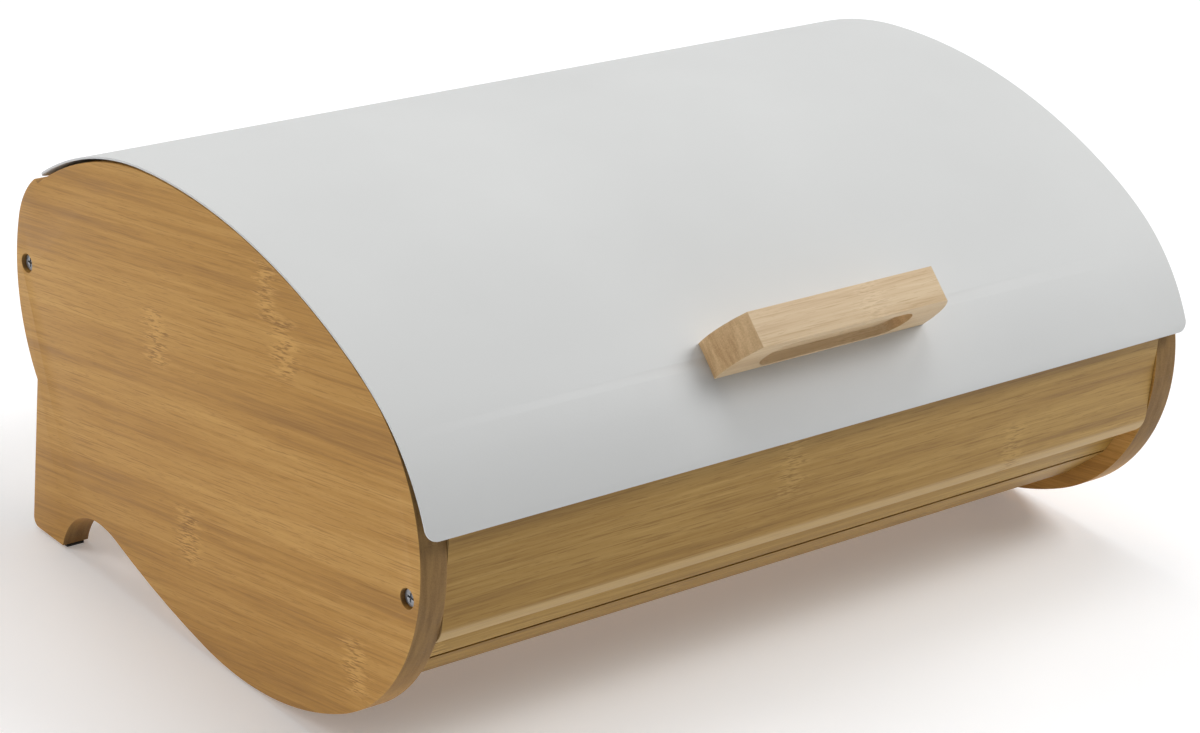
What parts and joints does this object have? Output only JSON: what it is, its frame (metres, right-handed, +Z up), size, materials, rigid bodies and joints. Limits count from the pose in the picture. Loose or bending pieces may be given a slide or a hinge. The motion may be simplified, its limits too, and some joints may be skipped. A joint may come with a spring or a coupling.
{
  "type": "bread box",
  "caption": "Bread box with shaped bamboo side panels and a curved sheet lid with a wooden handle that swings up at the rear.",
  "frame": {"origin": "on the table, under the middle of the box's overall width and depth", "axes": "+X along the box's length to the right of someone facing the handle, -Y to the front, +Z up"},
  "size_m": [0.4, 0.2792, 0.1841],
  "materials": {
    "bamboo_panel": "oiled bamboo",
    "bamboo_board": "oiled bamboo",
    "pale_wood": "satin",
    "lid_paint": "satin powder coat on sheet steel",
    "hinge_steel": "satin",
    "zinc": "zinc plated",
    "rubber": "matt",
    "soft_clear": "soft, translucent"
  },
  "bodies": {
    "box": {"left_side_panel": "bamboo_panel", "right_side_panel": "bamboo_panel", "front_board": "bamboo_board", "front_rail": "bamboo_board", "bottom_rail": "bamboo_board", "bottom_board": "bamboo_board", "lower_back_board": "bamboo_board", "back_board": "bamboo_board", "panel_screws": "zinc", "wood_dowels": "pale_wood", "lid_bumpers": "soft_clear", "belly_pads": "rubber", "foot_pads": "rubber", "left_hinge_base_leaf": "hinge_steel", "right_hinge_base_leaf": "hinge_steel", "left_hinge_pin": "hinge_steel", "right_hinge_pin": "hinge_steel", "hinge_wood_screws": "zinc"},
    "lid": {"lid_sheet": "lid_paint", "handle": "pale_wood", "handle_screws": "zinc", "handle_washers": "zinc", "left_hinge_lid_leaf": "hinge_steel", "right_hinge_lid_leaf": "hinge_steel", "hinge_rivets": "zinc"}
  },
  "joints": [
    {"name": "lid_hinge", "type": "hinge", "parent": "box", "child": "lid", "pos_m": [0, 0.12366, 0.15211], "axis": [-1, 0, 0], "range_deg": [0, 100]}
  ]
}
